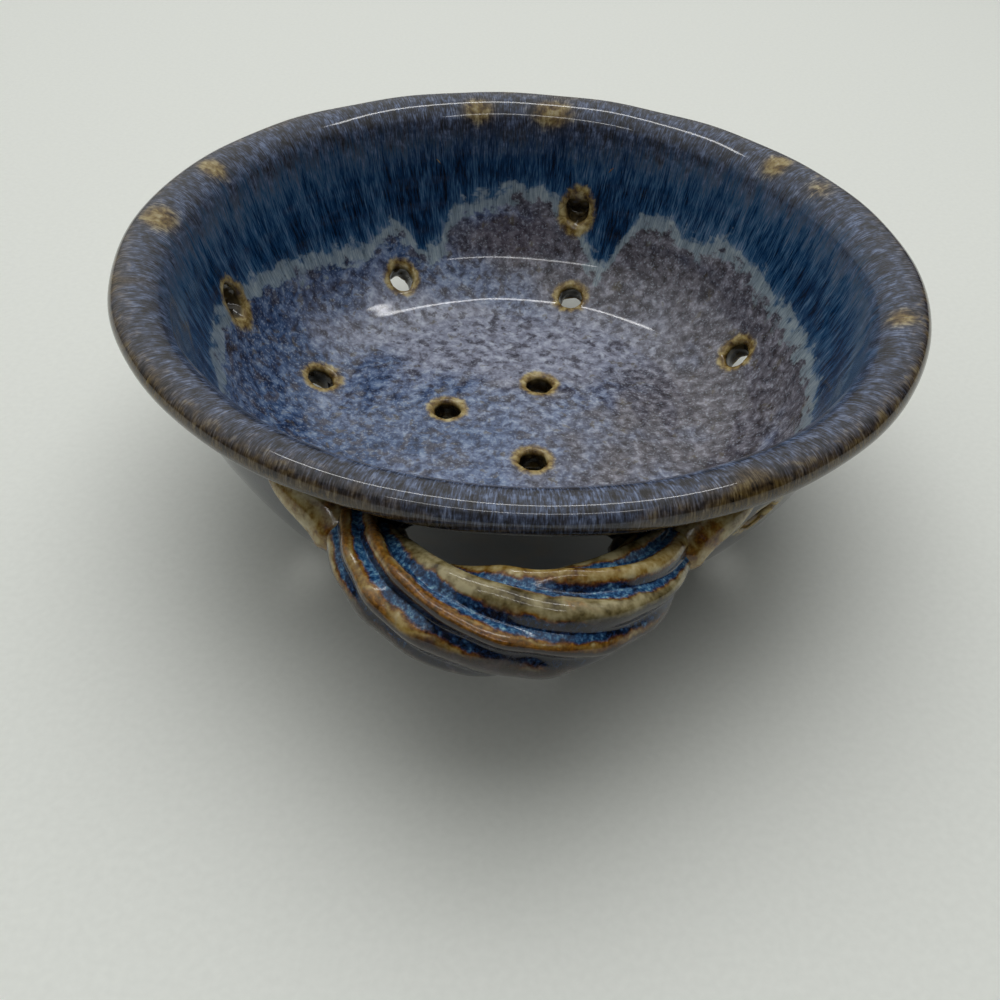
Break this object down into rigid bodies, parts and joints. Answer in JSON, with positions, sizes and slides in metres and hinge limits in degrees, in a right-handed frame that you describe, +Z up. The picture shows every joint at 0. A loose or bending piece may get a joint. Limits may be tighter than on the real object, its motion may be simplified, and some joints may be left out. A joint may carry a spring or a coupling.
{
  "type": "berry bowl",
  "caption": "Hand-thrown stoneware berry bowl with a rounded lip, punched drain holes, a foot ring and twisted coil handles on opposite sides.",
  "frame": {"origin": "on the bowl's axis, at table level under the foot ring", "axes": "+Z up along the bowl's axis, +Y from the front handle to the back handle, +X to the right seen from the front"},
  "size_m": [0.17, 0.2046, 0.06],
  "materials": {
    "bowl_glaze": "gloss",
    "handle_glaze": "gloss"
  },
  "bodies": {
    "root": {"bowl_body": "bowl_glaze", "front_handle_coil_1": "handle_glaze", "front_handle_coil_2": "handle_glaze", "front_handle_coil_3": "handle_glaze", "front_handle_coil_4": "handle_glaze", "front_handle_coil_5": "handle_glaze", "front_handle_coil_6": "handle_glaze", "front_handle_coil_7": "handle_glaze", "back_handle_coil_1": "handle_glaze", "back_handle_coil_2": "handle_glaze", "back_handle_coil_3": "handle_glaze", "back_handle_coil_4": "handle_glaze", "back_handle_coil_5": "handle_glaze", "back_handle_coil_6": "handle_glaze", "back_handle_coil_7": "handle_glaze", "front_handle_pad_left": "handle_glaze", "front_handle_pad_right": "handle_glaze", "back_handle_pad_left": "handle_glaze", "back_handle_pad_right": "handle_glaze"}
  },
  "joints": []
}
